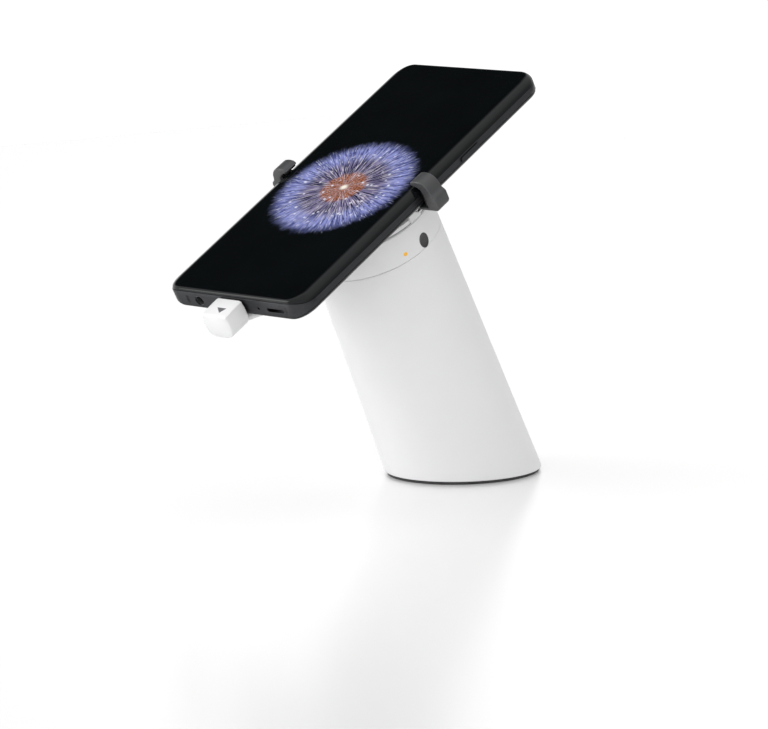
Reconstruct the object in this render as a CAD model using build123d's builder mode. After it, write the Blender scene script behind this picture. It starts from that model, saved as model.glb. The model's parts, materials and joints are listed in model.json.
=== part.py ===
"""Retail phone display stand: a slanted stand, a tethered puck, a gripped phone and its charge lead.

Millimetres. The origin is the middle of the foot on the counter. +X is right and +Y is away for
someone facing the screen, and +Z is up. The phone, puck and head lie on planes tilted back by TILT.
"""

import os
from math import cos, radians, sin, tan

from build123d import *

os.makedirs("parts", exist_ok=True)

# Where the phone lies
TILT = 30.0
PHONE_Y = -59.5
PHONE_Z = 113.2
PHONE_W = 68.7
PHONE_L = 147.7
PHONE_T = 8.5
PHONE_CORNER = 8.2
FRAME_LOW = -2.9
FRAME_HIGH = 2.3
FRAME_WALL = 2.2
GLASS_INSET = 0.25
PORT_Z = -0.3

# Stand
HEAD_SHIFT = -1.57
HEAD_R = 25.07
SEAM = -23.4
SEAM_GAP = 0.2
RIM = -11.5
BASE_RX = 27.7
BASE_RY = 32.5
WALL = 2.2
FIT = 0.3
GASKET_T = 1.15
GASKET_INSET = 1.1
CASTING_TOP = 30.0
CABLE_HOLE_R = 5.0
CABLE_HOLE_Y = -12.0
BOLT_R = 2.1
BOLT_SPACING = 30.0
BOLT_Y = 2.0
BOLT_DEPTH = 12.0
BASE_SCREW_X = 8.0
BASE_SCREW_Y = -1.5
PORT_R = 2.0
PORT_ANGLE = 0.5
PORT_HEIGHT = -20.4
LED_R = 0.8
LED_ANGLE = -21.3
LED_HEIGHT = -20.3

# Dock, inside the head ring
DOCK_LEDGE = -18.2
DOCK_TOP = -16.0
DOCK_R = 22.7
LEDGE_R = 20.9
DOCK_SCREW_R = 15.0
PIN_R = 0.9
PIN_TRAVEL = 0.6
RING_RADII = (9.0, 12.5)

# Recoiler reel
REEL_Y = -8.05
REEL_Z = -58.0
CORE_R = 5.5
WOUND_R = 7.05
FLANGE_R = 10.5
DRUM_HALF = 6.5
FLANGE_T = 1.2
AXLE_R = 1.5
CHEEK_X = 8.6
CHEEK_T = 1.6
TETHER_R = 0.9

# Puck and cradle
PUCK_LOW = -15.6
PUCK_FLOOR = -14.0
PUCK_SPIGOT_R = 22.3
PUCK_FLANGE_R = 24.6
PUCK_FLANGE_LOW = -11.2
PUCK_TOP = -9.8
COVER_R = 22.4
COVER_LOW = -9.75
COVER_TOP = -8.3
HUB_R = 19.5
HUB_TOP = -5.2
BAR_HALF = 25.0
BAR_W = 5.95
BAR_Y = 0.645
SLOT_W = 3.2
SLOT_LOW = -7.3
SLOT_HIGH = -5.9
HUB_FLAT = -20.8

# Arms
ARM_LOW_Y = -2.8
ARM_HIGH_Y = 3.8
TONGUE_IN = 6.0
TONGUE_OUT = 26.2
TONGUE_SIDE = 0.1

# Plug and lead
PLUG_BACK = -74.4
PLUG_FRONT = -84.2
LEAD_D = 3.2
LEAD_GAP = 0.6

phone_plane = Plane(
    origin=(0, PHONE_Y, PHONE_Z),
    x_dir=(1, 0, 0),
    z_dir=(0, -sin(radians(TILT)), cos(radians(TILT))),
)
head_plane = Plane(
    origin=phone_plane.from_local_coords((0, HEAD_SHIFT, 0)),
    x_dir=(1, 0, 0),
    z_dir=phone_plane.z_dir,
)
tilt_axis = Axis(phone_plane.origin, phone_plane.z_dir)


def across(plane, y):
    """The plane at y whose sketch lies in the x and z of the given plane, facing -y."""
    return Plane(
        origin=plane.from_local_coords((0, y, 0)), x_dir=plane.x_dir, z_dir=-plane.y_dir
    )


def sideways(plane, x):
    """The plane at x whose sketch lies in the y and z of the given plane, facing +x."""
    return Plane(
        origin=plane.from_local_coords((x, 0, 0)), x_dir=plane.y_dir, z_dir=plane.x_dir
    )


def radial(angle, height, radius):
    """A plane on the head at an angle round it, facing outwards."""
    turn = radians(angle)
    place = (radius * cos(turn), radius * sin(turn), height)
    outward = head_plane.x_dir * cos(turn) + head_plane.y_dir * sin(turn)
    return Plane(
        origin=head_plane.from_local_coords(place), x_dir=head_plane.z_dir, z_dir=outward
    )


# ---------------------------------------------------------------- the stand

BOLT_PLACES = [(-BOLT_SPACING / 2, BOLT_Y), (BOLT_SPACING / 2, BOLT_Y)]
SCREW_PLACES = [(-BASE_SCREW_X, BASE_SCREW_Y), (BASE_SCREW_X, BASE_SCREW_Y)]
SCREW_R = 1.5
SCREW_HEAD_R = 2.8
SCREW_HEAD_T = 2.0

with BuildPart() as base_gasket:
    with BuildSketch(Plane.XY):
        Ellipse(BASE_RX - GASKET_INSET, BASE_RY - GASKET_INSET)
        with Locations((0, CABLE_HOLE_Y)):
            Circle(CABLE_HOLE_R + 1, mode=Mode.SUBTRACT)
        with Locations(*BOLT_PLACES, *SCREW_PLACES):
            Circle(SCREW_HEAD_R + 0.4, mode=Mode.SUBTRACT)
    extrude(amount=GASKET_T)
base_gasket.part.label = "base_gasket"
export_step(base_gasket.part, "parts/base_gasket.step")

with BuildPart() as base_casting:
    with BuildSketch(Plane.XY.offset(GASKET_T)):
        Ellipse(BASE_RX - WALL - FIT, BASE_RY - WALL - FIT)
    with BuildSketch(head_plane.offset(SEAM)):
        Circle(HEAD_R - WALL - FIT)
    loft(ruled=True)
    split(bisect_by=Plane.XY.offset(CASTING_TOP), keep=Keep.BOTTOM)
    with BuildSketch(Plane.XY):
        with Locations((0, CABLE_HOLE_Y)):
            Circle(CABLE_HOLE_R)
        with Locations(*SCREW_PLACES):
            Circle(SCREW_R)
    extrude(amount=CASTING_TOP, mode=Mode.SUBTRACT)
    with BuildSketch(Plane.XY.offset(GASKET_T)):
        with Locations(*BOLT_PLACES):
            Circle(BOLT_R)
    extrude(amount=BOLT_DEPTH, mode=Mode.SUBTRACT)
    with BuildSketch(Plane.XY.offset(GASKET_T)):
        with Locations(*SCREW_PLACES):
            Circle(SCREW_HEAD_R + 0.1)
    extrude(amount=SCREW_HEAD_T, mode=Mode.SUBTRACT)
base_casting.part.label = "base_casting"
export_step(base_casting.part, "parts/base_casting.step")

with BuildPart() as base_screws:
    with BuildSketch(Plane.XY.offset(GASKET_T)):
        with Locations(*SCREW_PLACES):
            Circle(SCREW_HEAD_R)
    extrude(amount=SCREW_HEAD_T)
    with BuildSketch(Plane.XY.offset(GASKET_T)):
        with Locations(*SCREW_PLACES):
            Circle(SCREW_R - 0.02)
    extrude(amount=CASTING_TOP + 3 - GASKET_T)
base_screws.part.label = "base_screws"
export_step(base_screws.part, "parts/base_screws.step")

with BuildPart() as body_shell:
    with BuildSketch(Plane.XY.offset(GASKET_T)):
        Ellipse(BASE_RX, BASE_RY)
    with BuildSketch(head_plane.offset(SEAM)):
        Circle(HEAD_R)
    loft(ruled=True)
    with BuildSketch(Plane.XY.offset(GASKET_T)):
        Ellipse(BASE_RX - WALL, BASE_RY - WALL)
    with BuildSketch(head_plane.offset(SEAM)):
        Circle(HEAD_R - WALL)
    loft(ruled=True, mode=Mode.SUBTRACT)
body_shell.part.label = "body_shell"
export_step(body_shell.part, "parts/body_shell.step")

RIM_CHAMFER = 0.4
SPIGOT_LOW = -27.0

with BuildPart() as head_ring:
    with BuildSketch(head_plane.offset(SEAM + SEAM_GAP)):
        Circle(HEAD_R)
        Circle(LEDGE_R, mode=Mode.SUBTRACT)
    extrude(amount=RIM - SEAM - SEAM_GAP)
    chamfer(head_ring.faces().sort_by(tilt_axis)[-1].edges().sort_by(SortBy.RADIUS)[-1], RIM_CHAMFER)
    with BuildSketch(head_plane.offset(DOCK_LEDGE)):
        Circle(DOCK_R + 0.1)
    extrude(amount=RIM - DOCK_LEDGE, mode=Mode.SUBTRACT)
    with BuildSketch(head_plane.offset(SPIGOT_LOW)):
        Circle(HEAD_R - WALL - 0.2)
        Circle(LEDGE_R, mode=Mode.SUBTRACT)
    extrude(amount=SEAM + SEAM_GAP - SPIGOT_LOW)
    with BuildSketch(radial(PORT_ANGLE, PORT_HEIGHT, LEDGE_R - 1)):
        Circle(PORT_R)
    extrude(amount=WALL + 4, mode=Mode.SUBTRACT)
    with BuildSketch(radial(LED_ANGLE, LED_HEIGHT, LEDGE_R - 1)):
        Circle(LED_R)
    extrude(amount=WALL + 4, mode=Mode.SUBTRACT)
head_ring.part.label = "head_ring"
export_step(head_ring.part, "parts/head_ring.step")

with BuildPart() as key_port_lens:
    with BuildSketch(radial(PORT_ANGLE, PORT_HEIGHT, LEDGE_R - 0.6)):
        Circle(PORT_R - 0.05)
    extrude(amount=HEAD_R - LEDGE_R + 0.1)
key_port_lens.part.label = "key_port_lens"
export_step(key_port_lens.part, "parts/key_port_lens.step")

with BuildPart() as status_led:
    with BuildSketch(radial(LED_ANGLE, LED_HEIGHT, LEDGE_R - 0.6)):
        Circle(LED_R - 0.03)
    extrude(amount=HEAD_R - LEDGE_R + 0.55)
status_led.part.label = "status_led"
export_step(status_led.part, "parts/status_led.step")

PIN_PLACES = [(RING_RADII[0], 0), (-RING_RADII[0], 0), (0, RING_RADII[1]), (0, -RING_RADII[1])]
BUSH_R = 3.5
BUSH_FLANGE_R = 5.0
BUSH_FLANGE_T = 0.5

with BuildPart() as docking_plate:
    with BuildSketch(head_plane.offset(DOCK_LEDGE)):
        Circle(DOCK_R)
        Circle(BUSH_R, mode=Mode.SUBTRACT)
        with Locations(*PIN_PLACES):
            Circle(PIN_R + 0.08, mode=Mode.SUBTRACT)
        with PolarLocations(DOCK_SCREW_R, 3, start_angle=15):
            Circle(1.2, mode=Mode.SUBTRACT)
    extrude(amount=DOCK_TOP - DOCK_LEDGE)
    with BuildSketch(head_plane.offset(DOCK_TOP - BUSH_FLANGE_T)):
        Circle(BUSH_FLANGE_R + 0.1)
        with PolarLocations(DOCK_SCREW_R, 3, start_angle=15):
            Circle(2.3)
    extrude(amount=BUSH_FLANGE_T, mode=Mode.SUBTRACT)
docking_plate.part.label = "docking_plate"
export_step(docking_plate.part, "parts/docking_plate.step")

BRACKET_TOP = -18.4
BRACKET_LOW = -20.2

with BuildPart() as dock_screws:
    with BuildSketch(head_plane.offset(DOCK_TOP - BUSH_FLANGE_T)):
        with PolarLocations(DOCK_SCREW_R, 3, start_angle=15):
            Circle(2.2)
    extrude(amount=BUSH_FLANGE_T)
    with BuildSketch(head_plane.offset(BRACKET_LOW)):
        with PolarLocations(DOCK_SCREW_R, 3, start_angle=15):
            Circle(1.15)
    extrude(amount=DOCK_TOP - BUSH_FLANGE_T - BRACKET_LOW)
dock_screws.part.label = "dock_screws"
export_step(dock_screws.part, "parts/dock_screws.step")

with BuildPart() as tether_bush:
    with BuildSketch(head_plane.offset(DOCK_LEDGE)):
        Circle(BUSH_R - 0.02)
    extrude(amount=DOCK_TOP - DOCK_LEDGE)
    with BuildSketch(head_plane.offset(DOCK_TOP - BUSH_FLANGE_T)):
        Circle(BUSH_FLANGE_R)
    extrude(amount=BUSH_FLANGE_T)
    with BuildSketch(head_plane.offset(DOCK_LEDGE)):
        Circle(TETHER_R + 0.4)
    extrude(amount=DOCK_TOP - DOCK_LEDGE, mode=Mode.SUBTRACT)
tether_bush.part.label = "tether_bush"
export_step(tether_bush.part, "parts/tether_bush.step")

PIN_TOP = PUCK_LOW - 0.1
PIN_LENGTH = 1.9

with BuildPart() as contact_pins:
    with BuildSketch(head_plane.offset(PIN_TOP - PIN_LENGTH)):
        with Locations(*PIN_PLACES):
            Circle(PIN_R)
    extrude(amount=PIN_LENGTH)
    fillet(contact_pins.faces().group_by(tilt_axis)[-1].edges(), 0.4)
contact_pins.part.label = "contact_pins"
export_step(contact_pins.part, "parts/contact_pins.step")

BRACKET_R = 18.0
CHEEK_LOW = -70.0
CHEEK_FRONT = -17.0
CHEEK_BACK = 5.0

with BuildPart() as reel_bracket:
    with BuildSketch(head_plane.offset(BRACKET_LOW)):
        Circle(BRACKET_R)
        Circle(TETHER_R + 1.6, mode=Mode.SUBTRACT)
        with PolarLocations(DOCK_SCREW_R, 3, start_angle=15):
            Circle(1.17, mode=Mode.SUBTRACT)
    extrude(amount=BRACKET_TOP - BRACKET_LOW)
    for cheek_x in (CHEEK_X, -CHEEK_X - CHEEK_T):
        with BuildSketch(sideways(head_plane, cheek_x)):
            with Locations(((CHEEK_FRONT + CHEEK_BACK) / 2, (CHEEK_LOW + BRACKET_LOW) / 2)):
                Rectangle(CHEEK_BACK - CHEEK_FRONT, BRACKET_LOW - CHEEK_LOW)
            with Locations((REEL_Y, REEL_Z)):
                Circle(AXLE_R + 0.06, mode=Mode.SUBTRACT)
        extrude(amount=CHEEK_T)
reel_bracket.part.label = "reel_bracket"
export_step(reel_bracket.part, "parts/reel_bracket.step")

CASSETTE_X = 10.4
CASSETTE_T = 4.0
CASSETTE_R = 9.0

with BuildPart() as spring_cassette:
    with BuildSketch(sideways(head_plane, CASSETTE_X)):
        with Locations((REEL_Y, REEL_Z)):
            Circle(CASSETTE_R)
            Circle(AXLE_R + 0.06, mode=Mode.SUBTRACT)
    extrude(amount=CASSETTE_T)
    fillet(spring_cassette.edges().filter_by(GeomType.CIRCLE).sort_by(SortBy.RADIUS)[-1], 0.6)
spring_cassette.part.label = "spring_cassette"
export_step(spring_cassette.part, "parts/spring_cassette.step")

CARRIER_FRONT = 13.0
CARRIER_BACK = 14.6
CARRIER_HALF = 12.0
CARRIER_TOP = -30.0
CARRIER_LOW = -108.0
FOOT_T = 4.0

with BuildPart() as board_carrier:
    with BuildSketch(across(head_plane, CARRIER_BACK)):
        with Locations((0, (CARRIER_TOP + CARRIER_LOW) / 2)):
            Rectangle(2 * CARRIER_HALF, CARRIER_TOP - CARRIER_LOW)
    extrude(amount=CARRIER_BACK - CARRIER_FRONT)
    with BuildSketch(Plane.XY.offset(CASTING_TOP)):
        with Locations((0, -1)):
            Rectangle(22, 8)
    extrude(amount=FOOT_T)
    split(bisect_by=Plane.XY.offset(CASTING_TOP), keep=Keep.TOP)
    with BuildSketch(Plane.XY.offset(CASTING_TOP)):
        with Locations(*SCREW_PLACES):
            Circle(SCREW_R)
    extrude(amount=FOOT_T, mode=Mode.SUBTRACT)
board_carrier.part.label = "board_carrier"
export_step(board_carrier.part, "parts/board_carrier.step")

BOARD_T = 1.6
BOARD_HALF = 11.0
BOARD_LOW = -92.0
BOARD_TOP = -40.0

with BuildPart() as control_board:
    with BuildSketch(across(head_plane, CARRIER_FRONT)):
        with Locations((0, (BOARD_LOW + BOARD_TOP) / 2)):
            Rectangle(2 * BOARD_HALF, BOARD_TOP - BOARD_LOW)
    extrude(amount=BOARD_T)
    with BuildSketch(across(head_plane, CARRIER_FRONT - BOARD_T)):
        with Locations((-4, -50), (5, -58)):
            Rectangle(7, 5)
    extrude(amount=1.2)
control_board.part.label = "control_board"
export_step(control_board.part, "parts/control_board.step")

SOUNDER_Z = -78.0
SOUNDER_R = 8.0

with BuildPart() as alarm_sounder:
    with BuildSketch(across(head_plane, CARRIER_FRONT - BOARD_T)):
        with Locations((0, SOUNDER_Z)):
            Circle(SOUNDER_R)
    extrude(amount=5.0)
    with BuildSketch(across(head_plane, CARRIER_FRONT - BOARD_T - 5.0)):
        with Locations((0, SOUNDER_Z)):
            Circle(1.5)
    extrude(amount=-3.0, mode=Mode.SUBTRACT)
alarm_sounder.part.label = "alarm_sounder"
export_step(alarm_sounder.part, "parts/alarm_sounder.step")

INLET_H = 9.0

with BuildPart() as power_inlet:
    with BuildSketch(Plane.XY.offset(CASTING_TOP)):
        with Locations((0, CABLE_HOLE_Y)):
            RectangleRounded(13, 11, 1)
    extrude(amount=INLET_H)
    with BuildSketch(Plane.XY.offset(CASTING_TOP)):
        with Locations((0, CABLE_HOLE_Y)):
            Circle(2.8)
    extrude(amount=INLET_H - 2, mode=Mode.SUBTRACT)
power_inlet.part.label = "power_inlet"
export_step(power_inlet.part, "parts/power_inlet.step")

# ---------------------------------------------------------------- the recoiler reel

with BuildPart() as reel_drum:
    with BuildSketch(sideways(head_plane, -DRUM_HALF)):
        with Locations((REEL_Y, REEL_Z)):
            Circle(CORE_R)
            Circle(AXLE_R, mode=Mode.SUBTRACT)
    extrude(amount=2 * DRUM_HALF)
    for flange_x in (-DRUM_HALF - FLANGE_T, DRUM_HALF):
        with BuildSketch(sideways(head_plane, flange_x)):
            with Locations((REEL_Y, REEL_Z)):
                Circle(FLANGE_R)
                Circle(AXLE_R, mode=Mode.SUBTRACT)
        extrude(amount=FLANGE_T)
reel_drum.part.label = "reel_drum"
export_step(reel_drum.part, "parts/reel_drum.step")

with BuildPart() as reel_axle:
    with BuildSketch(sideways(head_plane, -CHEEK_X - CHEEK_T - 0.8)):
        with Locations((REEL_Y, REEL_Z)):
            Circle(AXLE_R)
    extrude(amount=CHEEK_X + CHEEK_T + 0.8 + CASSETTE_X + CASSETTE_T - 0.6)
reel_axle.part.label = "reel_axle"
export_step(reel_axle.part, "parts/reel_axle.step")

with BuildPart() as wound_cable:
    with BuildSketch(sideways(head_plane, 0.1 - DRUM_HALF)):
        with Locations((REEL_Y, REEL_Z)):
            Circle(WOUND_R)
            Circle(CORE_R, mode=Mode.SUBTRACT)
    extrude(amount=2 * DRUM_HALF - 0.2)
wound_cable.part.label = "wound_cable"
export_step(wound_cable.part, "parts/wound_cable.step")

with BuildPart() as tether_cable:
    with BuildSketch(head_plane.offset(REEL_Z)):
        Circle(TETHER_R)
    extrude(amount=PUCK_LOW - REEL_Z)
tether_cable.part.label = "tether_cable"
export_step(tether_cable.part, "parts/tether_cable.step")

# ---------------------------------------------------------------- the puck and its cradle

SWIVEL_R = 3.2
PUCK_WALL = 1.8
RING_W = 1.6
RING_T = 0.4
NOTCH_W = BAR_W + 0.3
CHEEK_IN = 22.7

with BuildPart() as puck_shell:
    with BuildSketch(head_plane.offset(PUCK_LOW)):
        Circle(PUCK_SPIGOT_R)
    extrude(amount=PUCK_TOP - PUCK_LOW)
    with BuildSketch(head_plane.offset(PUCK_FLANGE_LOW)):
        Circle(PUCK_FLANGE_R)
    extrude(amount=PUCK_TOP - PUCK_FLANGE_LOW)
    with BuildSketch(head_plane.offset(PUCK_FLOOR)):
        Circle(PUCK_SPIGOT_R - PUCK_WALL)
    extrude(amount=PUCK_TOP - PUCK_FLOOR, mode=Mode.SUBTRACT)
    with BuildSketch(head_plane.offset(PUCK_LOW)):
        Circle(SWIVEL_R + 0.02)
    extrude(amount=PUCK_FLOOR - PUCK_LOW, mode=Mode.SUBTRACT)
    for ring_r in RING_RADII:
        with BuildSketch(head_plane.offset(PUCK_LOW)):
            Circle(ring_r + RING_W / 2)
            Circle(ring_r - RING_W / 2, mode=Mode.SUBTRACT)
        extrude(amount=RING_T, mode=Mode.SUBTRACT)
    with BuildSketch(head_plane.offset(PUCK_FLANGE_LOW)):
        with Locations((CHEEK_IN + 1.9, BAR_Y), (-CHEEK_IN - 1.9, BAR_Y)):
            Rectangle(4, NOTCH_W)
    extrude(amount=PUCK_TOP - PUCK_FLANGE_LOW, mode=Mode.SUBTRACT)
puck_shell.part.label = "puck_shell"
export_step(puck_shell.part, "parts/puck_shell.step")

with BuildPart() as contact_rings:
    for ring_r in RING_RADII:
        with BuildSketch(head_plane.offset(PUCK_LOW)):
            Circle(ring_r + RING_W / 2)
            Circle(ring_r - RING_W / 2, mode=Mode.SUBTRACT)
        extrude(amount=RING_T)
contact_rings.part.label = "contact_rings"
export_step(contact_rings.part, "parts/contact_rings.step")

with BuildPart() as tether_swivel:
    with BuildSketch(head_plane.offset(PUCK_LOW)):
        Circle(SWIVEL_R)
    extrude(amount=PUCK_FLOOR - PUCK_LOW)
    with BuildSketch(head_plane.offset(PUCK_FLOOR)):
        Circle(SWIVEL_R + 1.3)
    extrude(amount=0.8)
tether_swivel.part.label = "tether_swivel"
export_step(tether_swivel.part, "parts/tether_swivel.step")

with BuildPart() as puck_board:
    with BuildSketch(head_plane.offset(-12.9)):
        Circle(19.5)
    extrude(amount=1.0)
    with BuildSketch(head_plane.offset(-11.9)):
        with Locations((-7, 6), (8, -5)):
            Rectangle(6, 5)
    extrude(amount=0.9)
puck_board.part.label = "puck_board"
export_step(puck_board.part, "parts/puck_board.step")

CRADLE_SCREW_R = 1.0
CRADLE_SCREW_RING = 14.5

with BuildPart() as puck_cover:
    with BuildSketch(head_plane.offset(COVER_LOW)):
        Circle(COVER_R)
        with PolarLocations(CRADLE_SCREW_RING, 4, start_angle=45):
            Circle(CRADLE_SCREW_R + 0.05, mode=Mode.SUBTRACT)
    extrude(amount=COVER_TOP - COVER_LOW)
puck_cover.part.label = "puck_cover"
export_step(puck_cover.part, "parts/puck_cover.step")

with BuildPart() as cradle_screws:
    with BuildSketch(head_plane.offset(COVER_LOW - 0.8)):
        with PolarLocations(CRADLE_SCREW_RING, 4, start_angle=45):
            Circle(2.0)
    extrude(amount=0.8)
    with BuildSketch(head_plane.offset(COVER_LOW)):
        with PolarLocations(CRADLE_SCREW_RING, 4, start_angle=45):
            Circle(CRADLE_SCREW_R)
    extrude(amount=3.7)
cradle_screws.part.label = "cradle_screws"
export_step(cradle_screws.part, "parts/cradle_screws.step")

with BuildPart() as cradle_hub:
    with BuildSketch(head_plane.offset(COVER_TOP)):
        Circle(HUB_R)
        with Locations((0, BAR_Y)):
            Rectangle(2 * BAR_HALF, BAR_W)
        with Locations((0, HUB_FLAT - HEAD_SHIFT - 2)):
            Rectangle(12, 4, mode=Mode.SUBTRACT)
    extrude(amount=HUB_TOP - COVER_TOP)
    with BuildSketch(head_plane.offset(PUCK_FLANGE_LOW)):
        with Locations(((CHEEK_IN + BAR_HALF) / 2, BAR_Y), (-(CHEEK_IN + BAR_HALF) / 2, BAR_Y)):
            Rectangle(BAR_HALF - CHEEK_IN, BAR_W)
    extrude(amount=COVER_TOP - PUCK_FLANGE_LOW)
    with BuildSketch(sideways(head_plane, -BAR_HALF)):
        with Locations((BAR_Y, (SLOT_LOW + SLOT_HIGH) / 2)):
            Rectangle(SLOT_W, SLOT_HIGH - SLOT_LOW)
    extrude(amount=2 * BAR_HALF, mode=Mode.SUBTRACT)
    with BuildSketch(head_plane.offset(COVER_TOP)):
        with PolarLocations(CRADLE_SCREW_RING, 4, start_angle=45):
            Circle(CRADLE_SCREW_R)
    extrude(amount=2.3, mode=Mode.SUBTRACT)
cradle_hub.part.label = "cradle_hub"
export_step(cradle_hub.part, "parts/cradle_hub.step")

PHONE_BACK = -PHONE_T / 2

with BuildPart() as adhesive_pad:
    with BuildSketch(head_plane.offset(HUB_TOP)):
        Circle(HUB_R - 1)
    extrude(amount=PHONE_BACK - HUB_TOP)
adhesive_pad.part.label = "adhesive_pad"
export_step(adhesive_pad.part, "parts/adhesive_pad.step")

# ---------------------------------------------------------------- the two hook arms

# Half outlines in x and z of the tilted plane, for the right arm. The left arm mirrors them.
ARM_FOOT_IN = 26.2
ARM_FOOT_LOW = -5.6
ARM_INNER_X = 35.3


def arm_outline(side):
    """The closed hook outline: foot, bulging block, ridge, curved lip and inner face."""
    with BuildLine() as outline:
        Polyline(
            (side * ARM_FOOT_IN, ARM_FOOT_LOW),
            (side * 38.6, ARM_FOOT_LOW),
            (side * 40.8, -3.7),
            (side * 40.8, -0.6),
            (side * 38.7, 1.6),
        )
        ThreePointArc((side * 38.7, 1.6), (side * 37.4, 5.2), (side * 34.2, 6.8))
        ThreePointArc((side * 34.2, 6.8), (side * 32.4, 6.7), (side * 30.8, 6.1))
        Polyline(
            (side * 30.8, 6.1),
            (side * 30.8, 5.4),
            (side * 33.7, 5.3),
            (side * ARM_INNER_X, 3.7),
            (side * ARM_INNER_X, -4.35),
            (side * ARM_FOOT_IN, -4.35),
            (side * ARM_FOOT_IN, ARM_FOOT_LOW),
        )
    return outline.line


def pad_outline(side):
    """The closed outline of the rubber liner inside the hook."""
    with BuildLine() as outline:
        Polyline(
            (side * 34.45, -3.9),
            (side * ARM_INNER_X, -3.9),
            (side * ARM_INNER_X, 3.7),
            (side * 33.7, 5.3),
            (side * 31.4, 5.38),
            (side * 31.4, 4.4),
            (side * 33.2, 4.4),
            (side * 34.45, 3.3),
            (side * 34.45, -3.9),
        )
    return outline.line


ARM_W = ARM_HIGH_Y - ARM_LOW_Y
TONGUE_Y = BAR_Y + HEAD_SHIFT
TONGUE_W = SLOT_W - 2 * TONGUE_SIDE
TONGUE_LOW = SLOT_LOW + TONGUE_SIDE
TONGUE_HIGH = SLOT_HIGH - TONGUE_SIDE

for side, word in ((1, "right"), (-1, "left")):
    with BuildPart() as arm:
        with BuildSketch(across(phone_plane, ARM_HIGH_Y)):
            add(arm_outline(side))
            make_face()
        extrude(amount=ARM_W)
        with BuildSketch(across(phone_plane, TONGUE_Y + TONGUE_W / 2)):
            with Locations((side * (TONGUE_IN + TONGUE_OUT) / 2, (TONGUE_LOW + TONGUE_HIGH) / 2)):
                Rectangle(TONGUE_OUT - TONGUE_IN, TONGUE_HIGH - TONGUE_LOW)
            with Locations((side * (TONGUE_OUT + 1.4), (TONGUE_LOW + ARM_FOOT_LOW) / 2)):
                Rectangle(2.8, ARM_FOOT_LOW - TONGUE_LOW + 0.4)
        extrude(amount=TONGUE_W)
    arm.part.label = f"{word}_arm"
    export_step(arm.part, f"parts/{word}_arm.step")

    with BuildPart() as arm_pad:
        with BuildSketch(across(phone_plane, ARM_HIGH_Y - 0.5)):
            add(pad_outline(side))
            make_face()
        extrude(amount=ARM_W - 1.0)
    arm_pad.part.label = f"{word}_pad"
    export_step(arm_pad.part, f"parts/{word}_pad.step")

# ---------------------------------------------------------------- the phone

BOTTOM = -PHONE_L / 2
TOP = PHONE_L / 2
SIDE = PHONE_W / 2
JACK_X = -17.0
JACK_R = 2.1
MIC_X = 12.5
SPEAKER_X = 20.85
BAND_PLACES = (-22.6, 26.5)
BAND_W = 1.2
BAND_DEPTH = 1.2
BAY_TOP = -60.0
SIDE_KEYS = {
    "power_button": (1, 26.9, 11.2),
    "volume_rocker": (-1, 36.0, 20.0),
    "assistant_key": (-1, 14.0, 9.0),
}
KEY_Z = -0.4
KEY_H = 2.0
KEY_GAP = 0.1
TRAY_X = -13.0
TRAY_W = 12.0
CAMERA_Y = 50.0
CAMERA_R = 5.2
SENSOR_Y = 39.0


def outline_slab(inset, low, high):
    """A slab of the phone's rounded outline, inset all round."""
    with BuildPart() as slab:
        with BuildSketch(phone_plane.offset(low)):
            RectangleRounded(PHONE_W - 2 * inset, PHONE_L - 2 * inset, PHONE_CORNER - inset)
        extrude(amount=high - low)
    return slab.part


def frame_band():
    """The phone's side band with softened edges and an open middle."""
    with BuildPart() as band:
        add(outline_slab(0, FRAME_LOW, FRAME_HIGH))
        fillet(band.faces().sort_by(tilt_axis)[-1].edges(), 0.7)
        fillet(band.faces().sort_by(tilt_axis)[0].edges(), 1.2)
        add(outline_slab(FRAME_WALL, FRAME_LOW, FRAME_HIGH), mode=Mode.SUBTRACT)
    return band.part


def band_slabs():
    """Blocks let into the bottom and top of the band, where its plastic breaks lie."""
    with BuildPart() as slabs:
        with BuildSketch(phone_plane.offset(FRAME_LOW - 0.1)):
            for band_x in BAND_PLACES:
                with Locations((band_x, BOTTOM), (band_x, TOP)):
                    Rectangle(BAND_W, 2 * BAND_DEPTH)
        extrude(amount=FRAME_HIGH - FRAME_LOW + 0.2)
    return slabs.part


with BuildPart() as phone_frame:
    add(frame_band())
    add(outline_slab(FRAME_WALL - 0.3, -0.5, 0.1))
    with BuildSketch(phone_plane.offset(-0.6)):
        with Locations((0, (BOTTOM + FRAME_WALL + BAY_TOP) / 2)):
            Rectangle(62, BAY_TOP - BOTTOM - FRAME_WALL)
    extrude(amount=0.8, mode=Mode.SUBTRACT)
    add(band_slabs(), mode=Mode.SUBTRACT)
    with BuildSketch(across(phone_plane, BOTTOM + FRAME_WALL + 1)):
        with Locations((JACK_X, PORT_Z)):
            Circle(JACK_R + 0.05)
        with Locations((0, PORT_Z)):
            SlotOverall(9.4, 3.4)
        with Locations((MIC_X, PORT_Z)):
            Circle(0.5)
        with Locations((SPEAKER_X, PORT_Z)):
            SlotOverall(8.5, 1.5)
    extrude(amount=FRAME_WALL + 2, mode=Mode.SUBTRACT)
    for key_side, key_y, key_l in SIDE_KEYS.values():
        with BuildSketch(sideways(phone_plane, key_side * (SIDE - FRAME_WALL / 2 + 0.5))):
            with Locations((key_y, KEY_Z)):
                RectangleRounded(key_l + 2 * KEY_GAP, KEY_H + 2 * KEY_GAP, 1.0)
        extrude(amount=FRAME_WALL / 2 + 0.5, both=True, mode=Mode.SUBTRACT)
    with BuildSketch(across(phone_plane, TOP + 1)):
        with Locations((TRAY_X, -0.3)):
            RectangleRounded(TRAY_W + 0.1, 2.1, 1.0)
    extrude(amount=FRAME_WALL + 1.5, mode=Mode.SUBTRACT)
phone_frame.part.label = "phone_frame"
export_step(phone_frame.part, "parts/phone_frame.step")

with BuildPart() as antenna_bands:
    add(frame_band())
    add(band_slabs(), mode=Mode.INTERSECT)
antenna_bands.part.label = "antenna_bands"
export_step(antenna_bands.part, "parts/antenna_bands.step")

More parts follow.
